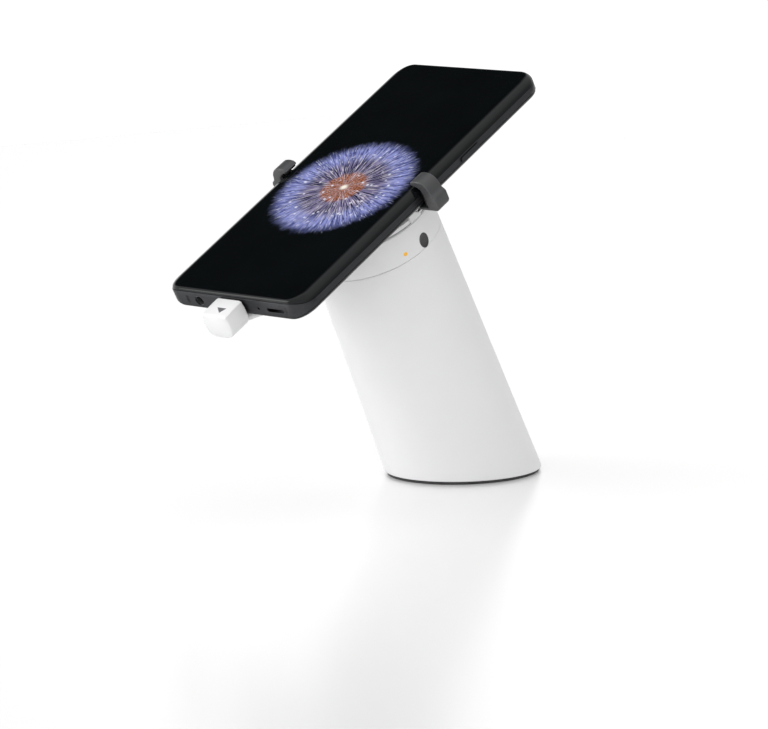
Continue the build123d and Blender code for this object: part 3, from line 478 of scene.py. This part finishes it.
def light_picture(shade):
    """A soft blue burst of fine filaments round a warm middle, lit from the glass."""
    calc = Formula(shade.tree)
    middle = CENTRE / MM
    x = calc.dot(shade.place, RIGHT, middle.x + PICTURE_X)
    y = calc.dot(shade.place, ALONG, middle.y + PICTURE_Y)
    z = calc.dot(shade.place, UP_OUT, middle.z)
    flat = calc.join(x, y, 0.0)
    away = calc.do("POWER", calc.do("ADD", calc.do("POWER", x, 2.0), calc.do("POWER", y, 2.0)), 0.5)
    away = calc.do("MAXIMUM", away, 0.01)
    r = calc.do("DIVIDE", away, PICTURE_R)
    turn_x, turn_y = calc.do("DIVIDE", x, away), calc.do("DIVIDE", y, away)
    rays = calc.join(calc.do("MULTIPLY", turn_x, 9.0), calc.do("MULTIPLY", turn_y, 9.0), r)
    fine = calc.join(
        calc.do("MULTIPLY", turn_x, 30.0), calc.do("MULTIPLY", turn_y, 30.0), calc.do("MULTIPLY", r, 4.0)
    )
    bent = calc.noise(flat, 0.3, 3)
    streaks = calc.noise(fine, 1.0, 3)
    tufts = calc.noise(rays, 2.2, 2)
    ragged = calc.do("ADD", calc.do("MULTIPLY", streaks, 0.2), calc.do("MULTIPLY", bent, 0.12))
    edge = calc.step(calc.do("ADD", r, ragged), 1.2, 0.98)
    ring = calc.do("MULTIPLY", edge, calc.step(r, 0.28, 0.66))
    haze = calc.do("MULTIPLY", edge, calc.step(calc.noise(flat, 0.8, 4), 0.36, 0.62))
    blue = calc.mix(calc.step(streaks, 0.38, 0.62), (0.05, 0.06, 0.19), (0.3, 0.33, 0.7))
    blue = calc.mix(calc.step(calc.noise(fine, 2.4, 1), 0.56, 0.72), blue, (0.72, 0.74, 0.96))
    blue = calc.mix(calc.do("MULTIPLY", haze, 0.35), blue, (0.2, 0.22, 0.52))
    picture = calc.mix(ring, (0.0, 0.0, 0.0), blue)
    inner = calc.do("MULTIPLY", calc.step(r, 0.72, 0.5), edge)
    dusk = calc.mix(calc.step(tufts, 0.4, 0.62), (0.02, 0.02, 0.055), (0.22, 0.19, 0.34))
    picture = calc.mix(inner, picture, dusk)
    clumps = calc.step(calc.noise(flat, 1.3, 3), 0.35, 0.65)
    warm = calc.mix(clumps, (0.12, 0.035, 0.02), (0.46, 0.17, 0.09))
    warm_r = calc.do("ADD", r, calc.do("MULTIPLY", bent, 0.12))
    picture = calc.mix(calc.step(warm_r, 0.42, 0.33), picture, warm)
    thread = calc.step(calc.noise(rays, 5.2, 1), 0.56, 0.66)
    thread = calc.do("MULTIPLY", thread, calc.step(r, 0.86, 0.5))
    picture = calc.mix(calc.do("MULTIPLY", thread, 0.8), picture, (0.8, 0.74, 0.86))
    dots = shade.tree.nodes.new("ShaderNodeTexVoronoi")
    dots.inputs["Scale"].default_value = 0.3
    shade.tree.links.new(flat, dots.inputs["Vector"])
    spark = calc.step(dots.outputs["Distance"], 0.24, 0.06)
    spark = calc.do("MULTIPLY", spark, calc.step(r, 0.86, 0.7))
    picture = calc.mix(calc.do("MULTIPLY", spark, 0.9), picture, (0.86, 0.86, 1.0))
    picture = calc.mix(calc.step(r, 0.08, 0.015), picture, (1.0, 0.93, 0.82))
    facing = calc.do("GREATER_THAN", z, (glass_high - CENTRE.z) / MM - 0.4)
    shown = calc.mix(facing, (0.0, 0.0, 0.0), picture)
    shade.tree.links.new(shown, shade.shader.inputs["Emission Color"])
    shade.shader.inputs["Emission Strength"].default_value = 0.95


# ------------------------------------------------------------ mesh making

SHARP = radians(38)
BEVEL_ANGLE = radians(35)


def piece(name, points, faces, slot, body, stands_for=()):
    """A shaded mesh piece that rides on a body and stands for CAD nodes."""
    mesh = bpy.data.meshes.new(name)
    mesh.from_pydata([tuple(p) for p in points], [], faces)
    shaper = bmesh.new()
    shaper.from_mesh(mesh)
    bmesh.ops.remove_doubles(shaper, verts=shaper.verts, dist=1e-7)
    bmesh.ops.recalc_face_normals(shaper, faces=shaper.faces)
    shaper.to_mesh(mesh)
    shaper.free()
    mesh.materials.append(SHADES[slot].material)
    obj = bpy.data.objects.new(name, mesh)
    scene.collection.objects.link(obj)
    smooth(obj)
    if body:
        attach(obj, body)
    if stands_for:
        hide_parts(*stands_for)
    return obj


def smooth(obj):
    """Smooth shading with sharp edges kept."""
    obj.data.polygons.foreach_set("use_smooth", [True] * len(obj.data.polygons))
    obj.data.set_sharp_from_angle(angle=SHARP)


def skin(rings, closed=False):
    """Points and quads between rings of equal length, with end caps or joined end to end."""
    count = len(rings[0])
    points = [p for ring in rings for p in ring]
    faces = []
    last = len(rings) if closed else len(rings) - 1
    for i in range(last):
        a, b = i * count, ((i + 1) % len(rings)) * count
        for j in range(count):
            k = (j + 1) % count
            faces.append((a + j, a + k, b + k, b + j))
    if not closed:
        faces.append(tuple(range(count - 1, -1, -1)))
        faces.append(tuple(range((len(rings) - 1) * count, len(rings) * count)))
    return points, faces


def soften(obj, width, segments):
    """Applies a bevel to the hard edges of a piece."""
    bevel = obj.modifiers.new("bevel", "BEVEL")
    bevel.width = width * MM
    bevel.segments = segments
    bevel.limit_method = "ANGLE"
    bevel.angle_limit = BEVEL_ANGLE
    bevel.harden_normals = False
    graph = bpy.context.evaluated_depsgraph_get()
    mesh = bpy.data.meshes.new_from_object(obj.evaluated_get(graph))
    obj.modifiers.clear()
    old = obj.data
    obj.data = mesh
    bpy.data.meshes.remove(old)
    smooth(obj)


# ------------------------------------------------------------ the stand's skin

AROUND = 144


def body_ring(share, inset):
    """One ring of the slanted body, from the foot at share 0 to the seam at 1."""
    foot_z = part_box("body_shell")[0].z
    foot = [v.co for v in NODES["body_shell"].data.vertices if v.co.z < foot_z + 1e-5]
    rx, ry = max(p.x for p in foot), max(p.y for p in foot)
    seam_r = (ring_high.x - ring_low.x) / 2 / MM
    seam_z = span("body_shell")[1].z
    ring = []
    for i in range(AROUND):
        a = tau * i / AROUND
        base = Vector(((rx - inset * MM) * cos(a), (ry - inset * MM) * sin(a), foot_z))
        top = at((seam_r - inset) * cos(a), HEAD_Y + (seam_r - inset) * sin(a), seam_z)
        ring.append(base.lerp(top, share))
    return ring


WALL = 2.2
FOOT_ROUND = 0.7
SEAM_ROUND = 0.35
BODY_LONG = 104.0


def make_body():
    """The white shell, with its foot and seam edges rounded over."""
    rings = []
    for i in range(6):
        a = pi / 2 * i / 5
        rings.append(body_ring(FOOT_ROUND * (1 - cos(a)) / BODY_LONG, FOOT_ROUND * (1 - sin(a))))
    rings += [body_ring(i / 12, 0) for i in range(1, 12)]
    for i in range(6):
        a = pi / 2 * (1 - i / 5)
        rings.append(body_ring(1 - SEAM_ROUND * (1 - cos(a)) / BODY_LONG, SEAM_ROUND * (1 - sin(a))))
    rings += [body_ring(1, WALL), body_ring(0.5, WALL), body_ring(0, WALL)]
    points, faces = skin(rings, closed=True)
    piece("stand_shell", points, faces, "body_white", "stand", ["body_shell"])


# ------------------------------------------------------------ the dark port

PORT_HALF_WIDE = 2.35
PORT_HALF_HIGH = 2.95
PORT_STEPS = [(1.0, -0.3), (1.0, 0.03), (0.97, 0.07), (0.9, 0.07), (0.86, 0.02), (0.5, -0.01), (0.05, -0.02)]


def make_port():
    """The oval key port: a dished dark lens inside a thin lip, wrapped to the head."""
    low, high = span("key_port_lens")
    turn = atan2((low.y + high.y) / 2 - HEAD_Y, (low.x + high.x) / 2)
    middle = (low.z + high.z) / 2
    radius = (ring_high.x - ring_low.x) / 2 / MM
    rings = []
    for size, proud in PORT_STEPS:
        ring = []
        for i in range(48):
            a = tau * i / 48
            around = turn + PORT_HALF_WIDE * size * cos(a) / radius
            r = radius + proud
            rise = PORT_HALF_HIGH * size * sin(a)
            ring.append(at(r * cos(around), HEAD_Y + r * sin(around), middle + rise))
        rings.append(ring)
    points, faces = skin(rings)
    piece("port_lens", points, faces, "port_lens", "stand", ["key_port_lens"])


# ------------------------------------------------------------ the hook arms


def arc(centre, radius, start, end, count):
    """Points on an arc, in degrees."""
    found = []
    for i in range(count + 1):
        a = radians(start + (end - start) * i / count)
        found.append((centre[0] + radius * cos(a), centre[1] + radius * sin(a)))
    return found


ARM_Y = (-2.8, 3.8)
FOOT_LOW, CROWN = -5.6, 6.8
FOOT_IN, FOOT_OUT = 26.2, 29.0
TONGUE_IN = 6.0
TONGUE_Y = (-2.425, 0.575)
TONGUE_LOW, TONGUE_HIGH, RISER_HIGH = -7.2, -6.0, -5.4


def hook_outline():
    """The hook seen along the phone: foot, bulged block, ridge, curved lip and inner face."""
    profile = [(FOOT_IN, FOOT_LOW), (38.5, FOOT_LOW)]
    profile += arc((38.6, -3.5), 2.15, -75, -5, 6)
    profile += arc((38.9, -0.9), 1.85, 0, 58, 5)
    profile += [(39.2, 1.3), (38.95, 1.9), (38.85, 2.5)]
    profile += [(38.55, 3.7), (37.9, 4.9), (36.9, 5.9), (35.6, 6.55), (34.2, CROWN)]
    profile += [(33.0, 6.78), (31.8, 6.5), (31.0, 6.05), (30.8, 5.6), (30.9, 5.0)]
    profile += [(31.6, 4.8), (32.6, 4.5), (33.7, 3.95), (34.6, 3.2), (35.2, 2.2), (35.3, 1.2)]
    profile += [(35.3, -4.35), (FOOT_IN, -4.35)]
    return profile


def make_arm(side, word):
    """A dark grey hook on a steel tongue."""
    centre_y = (ARM_Y[0] + ARM_Y[1]) / 2
    half = (ARM_Y[1] - ARM_Y[0]) / 2
    rings = []
    for share in (-1, 1):
        rings.append([at(side * x, centre_y + share * half, z) for x, z in hook_outline()])
    points, faces = skin(rings)
    arm = piece(f"{word}_hook", points, faces, "arm_grey", f"{word}_arm", [f"{word}_arm"])
    soften(arm, 0.75, 4)
    tongue_x = (side * TONGUE_IN, side * FOOT_OUT)
    riser_x = (side * FOOT_IN, side * FOOT_OUT)
    make_block(f"{word}_tongue", tongue_x, (TONGUE_LOW, TONGUE_HIGH), f"{word}_arm")
    make_block(f"{word}_riser", riser_x, (TONGUE_LOW, RISER_HIGH), f"{word}_arm")


def make_block(name, xs, zs, body):
    """A softened steel block of the tongue's width."""
    corners = [(xs[0], TONGUE_Y[0]), (xs[1], TONGUE_Y[0]), (xs[1], TONGUE_Y[1]), (xs[0], TONGUE_Y[1])]
    points, faces = skin([[at(x, y, z) for x, y in corners] for z in zs])
    soften(piece(name, points, faces, "steel", body), 0.2, 2)


# ------------------------------------------------------------ the phone's skin

CORNER = 8.2
SEAM_SIDE, SEAM_END = 1.35, 3.15
CURVE_SIDE, CURVE_END = 6.0, 1.7
GROOVE = 0.1
PANE_INSET_SIDE, PANE_INSET_END = 0.1, 0.45
AROUND_CORNER = 14


def outline():
    """Points round the phone's outline, each with its outward normal and how much it faces a long side."""
    half_x = (frame_high.x - frame_low.x) / 2 / MM
    half_y = (frame_high.y - frame_low.y) / 2 / MM
    found = []
    for sx, sy, start in ((1, 1, 0), (-1, 1, 90), (-1, -1, 180), (1, -1, 270)):
        for i in range(AROUND_CORNER + 1):
            a = radians(start + 90 * i / AROUND_CORNER)
            n = (cos(a), sin(a))
            x = sx * (half_x - CORNER) + CORNER * n[0]
            y = sy * (half_y - CORNER) + CORNER * n[1]
            found.append((x, y, n, n[0] ** 2))
    return found


def phone_ring(depth):
    """A ring whose inset and height come from depth(share), share being 1 on the long sides."""
    ring = []
    for x, y, n, share in outline():
        inset, z = depth(share)
        ring.append(at(x - n[0] * inset, y - n[1] * inset, z))
    return ring


def seam_height(share):
    """How high the pane's seam lies, lower on the long sides than at the ends."""
    return SEAM_END + (SEAM_SIDE - SEAM_END) * share


def glass_rings(sign):
    """Rings of a pane whose long edges curve down to the band."""
    thick = (glass_high - back_low) / 2 / MM

    def bend(angle):
        def depth(share):
            seam = seam_height(share)
            curve = CURVE_END + (CURVE_SIDE - CURVE_END) * share
            edge = PANE_INSET_END + (PANE_INSET_SIDE - PANE_INSET_END) * share
            return edge + curve * (1 - cos(angle)), sign * (seam + (thick - seam) * sin(angle))

        return depth

    rings = [phone_ring(lambda share: (7.0, sign * 1.2))]
    rings += [phone_ring(lambda share: (0.6, sign * seam_height(share)))]
    rings += [phone_ring(bend(pi / 2 * i / 14)) for i in range(15)]
    return rings


def bore(name, points, faces, target):
    """Cuts a closed shape out of a piece."""
    mesh = bpy.data.meshes.new(name)
    mesh.from_pydata([tuple(p) for p in points], [], faces)
    cutter = bpy.data.objects.new(name, mesh)
    scene.collection.objects.link(cutter)
    shaper = bmesh.new()
    shaper.from_mesh(mesh)
    bmesh.ops.recalc_face_normals(shaper, faces=shaper.faces)
    shaper.to_mesh(mesh)
    shaper.free()
    cut = target.modifiers.new("cut", "BOOLEAN")
    cut.operation = "DIFFERENCE"
    cut.solver = "EXACT"
    cut.object = cutter
    graph = bpy.context.evaluated_depsgraph_get()
    made = bpy.data.meshes.new_from_object(target.evaluated_get(graph))
    target.modifiers.clear()
    target.data = made
    bpy.data.objects.remove(cutter)
    smooth(target)


def slot_rings(x, z, wide, tall, ys):
    """A stadium shaped cutter along the phone's length."""
    r = tall / 2
    rings = []
    for y in ys:
        ring = []
        for i in range(24):
            a = tau * i / 24
            shift = (wide / 2 - r) * (1 if cos(a) > 0 else -1)
            ring.append(at(x + r * cos(a) + shift, y, z + r * sin(a)))
        rings.append(ring)
    return skin(rings)


def disc_rings(x, y, r, zs):
    """A round cutter through the phone's thickness."""
    turns = [tau * i / 40 for i in range(40)]
    return skin([[at(x + r * cos(a), y + r * sin(a), z) for a in turns] for z in zs])


PORT_Z = (span("audio_jack")[0].z + span("audio_jack")[1].z) / 2
JACK = (-17.0, 3.9, 3.9)
DATA_PORT = (0.0, 9.3, 3.3)
MIC_HOLE = (12.5, 1.0, 1.0)
SPEAKER = (20.85, 8.4, 1.5)
BAND_STEPS = [
    (1.5, 1),
    (0.3, 1),
    (0.12, 0.97),
    (0.0, 0.85),
    (0.0, 0.0),
    (0.0, -0.85),
    (0.12, -0.97),
    (0.3, -1),
    (1.5, -1),
]


def band_ring(inset, level):
    """A ring of the metal band, level being 1 at its upper groove and -1 at its lower one."""
    return phone_ring(lambda share: (inset, level * (seam_height(share) - GROOVE)))


def make_band():
    """The rounded metal band with its jack, data port, microphone and speaker openings."""
    points, faces = skin([band_ring(*step) for step in BAND_STEPS], closed=True)
    band = piece("phone_band", points, faces, "phone_metal", "puck", ["phone_frame"])
    end = span("phone_frame")[0].y
    for index, (x, wide, tall) in enumerate((JACK, DATA_PORT, MIC_HOLE, SPEAKER)):
        bore(f"bore_{index}", *slot_rings(x, PORT_Z, wide, tall, (end - 1, end + 2.2)), band)


def make_phone():
    """Curved panes over the metal band. It gives back the front pane."""
    panes = []
    for name, sign, node in (("front_pane", 1, "front_glass"), ("back_pane", -1, "back_glass")):
        points, faces = skin(glass_rings(sign))
        panes.append(piece(name, points, faces, "phone_glass", "puck", [node]))
    make_band()
    low, high = span("camera_ring")
    middle = (low + high) / 2
    lens_r = (high.x - low.x) / 2 + 0.02
    bore("lens_bore", *disc_rings(middle.x, middle.y, lens_r, (-6, -3.2)), panes[1])
    return panes[0]


# ------------------------------------------------------------ the plug and its lead

PLUG_TOP_HALF = 5.7
PLUG_SHOULDER, PLUG_WAIST = 0.3, -3.0
BELLY_POWER = 0.72
PLUG_FALL, FALL_LONG = 0.35, 5.0
ARROW = [(-1.3, -79.7), (1.6, -82.3), (3.2, -79.7)]


def plug_section(grow, top):
    """The plug's D outline, shrunk by grow, with a flat top and a rounded belly."""
    low, high = span("charge_plug")
    half = high.x - grow
    crown = top - grow
    belly = low.z + grow
    top_half = PLUG_TOP_HALF - grow * 0.8
    outline = []
    for i in range(9):
        a = pi * (1 - i / 8)
        round_x = abs(cos(a)) ** BELLY_POWER * (1 if cos(a) > 0 else -1)
        outline.append((half * round_x, PLUG_WAIST - (PLUG_WAIST - belly) * sin(a) ** BELLY_POWER))
    outline.append((half, (PLUG_WAIST + PLUG_SHOULDER) / 2))
    outline += [(half - 0.05, PLUG_SHOULDER), (half - 0.5, PLUG_SHOULDER + 1.3)]
    outline += [(top_half + 0.3, crown - 0.45), (top_half - 0.5, crown), (0, crown)]
    left = [(-x, z) for x, z in reversed(outline[9:-1])]
    return outline + left


def plug_top(y):
    """The height of the plug's top, which falls a little towards its outer end."""
    low, high = span("charge_plug")
    return high.z - PLUG_FALL * max(0.0, (low.y + FALL_LONG - y) / FALL_LONG)


def make_plug():
    """The white overmould, rounded at both ends, with a grey triangle let into its top."""
    low, high = span("charge_plug")
    stations = [
        (high.y, 0.4),
        (high.y - 0.25, 0.1),
        (high.y - 0.6, 0.0),
        (high.y - 5, 0.0),
        (low.y + 0.9, 0.03),
        (low.y + 0.45, 0.1),
        (low.y + 0.15, 0.28),
        (low.y, 0.6),
    ]
    rings = []
    for y, grow in stations:
        rings.append([at(x, y, z) for x, z in plug_section(grow, plug_top(y))])
    points, faces = skin(rings)
    piece("plug_body", points, faces, "plug_white", "plug", ["charge_plug"])
    rings = [[at(x, y, plug_top(y) + lift) for x, y in ARROW] for lift in (-0.088, 0.012)]
    points, faces = skin(rings)
    piece("arrow_mark", points, faces, "arrow_grey", "plug", ["plug_arrow"])


LEAD_ROUTE = [
    (1.2, -73.8, -5.95),
    (2.4, -69.4, -7.0),
    (4.6, -63.2, -9.0),
    (5.3, -54.6, -10.5),
    (3.7, -45.4, -10.4),
    (1.4, -36.6, -8.9),
    (0.2, -29.4, -7.1),
    (0.0, -22.8, -6.6),
]
LEAD_D = 3.2


def route_line(name, route):
    """Points along a smooth NURBS line through a route in the phone's frame."""
    curve = bpy.data.curves.new(name, "CURVE")
    curve.dimensions = "3D"
    curve.resolution_u = 10
    spline = curve.splines.new("NURBS")
    spline.points.add(len(route) - 1)
    for point, place in zip(spline.points, route):
        point.co = (*at(*place), 1)
    spline.order_u = 3
    spline.use_endpoint_u = True
    holder = bpy.data.objects.new(name, curve)
    mesh = bpy.data.meshes.new_from_object(holder)
    line = [v.co.copy() for v in mesh.vertices]
    bpy.data.objects.remove(holder)
    bpy.data.curves.remove(curve)
    bpy.data.meshes.remove(mesh)
    return line


def tube(line, radius, count=20):
    """Points and faces of a round tube along a line."""
    rings = []
    normal = UP_OUT
    wide = radius * MM
    turns = [tau * j / count for j in range(count)]
    for i, here in enumerate(line):
        ahead = line[min(i + 1, len(line) - 1)] - line[max(i - 1, 0)]
        ahead.normalize()
        normal = (normal - ahead * normal.dot(ahead)).normalized()
        side = ahead.cross(normal)
        rings.append([here + (normal * cos(a) + side * sin(a)) * wide for a in turns])
    return skin(rings)


def make_lead():
    """The short white charge lead, which bends between the puck and the plug."""
    line = route_line("lead_route", LEAD_ROUTE)
    points, faces = tube(line, LEAD_D / 2)
    lead = piece("lead_sheath", points, faces, "lead_white", None, ["charge_lead"])
    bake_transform(lead)


def make_tether():
    """The coated steel tether, built as a fixed straight tube; on the stand it pays out from the reel as the puck
    lifts.
    """
    low, high = span("tether_cable")
    line = [at(0, HEAD_Y, low.z + (high.z - low.z) * i / 60) for i in range(61)]
    points, faces = tube(line, (high.x - low.x) / 2, 12)
    tether = piece("tether_rope", points, faces, "cable_sheath", None, ["tether_cable"])
    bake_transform(tether)


for node, obj in NODES.items():
    obj.data.materials.clear()
    obj.data.materials.append(SHADES[SLOT_OF[node]].material)

SHADES["screen"] = dark_glass("screen", (0.0022, 0.003, 0.0034), 0.25)
light_picture(SHADES["screen"])
make_body()
make_port()
make_phone().data.materials[0] = SHADES["screen"].material
for side, word in ((1, "right"), (-1, "left")):
    make_arm(side, word)
make_plug()
make_lead()
make_tether()
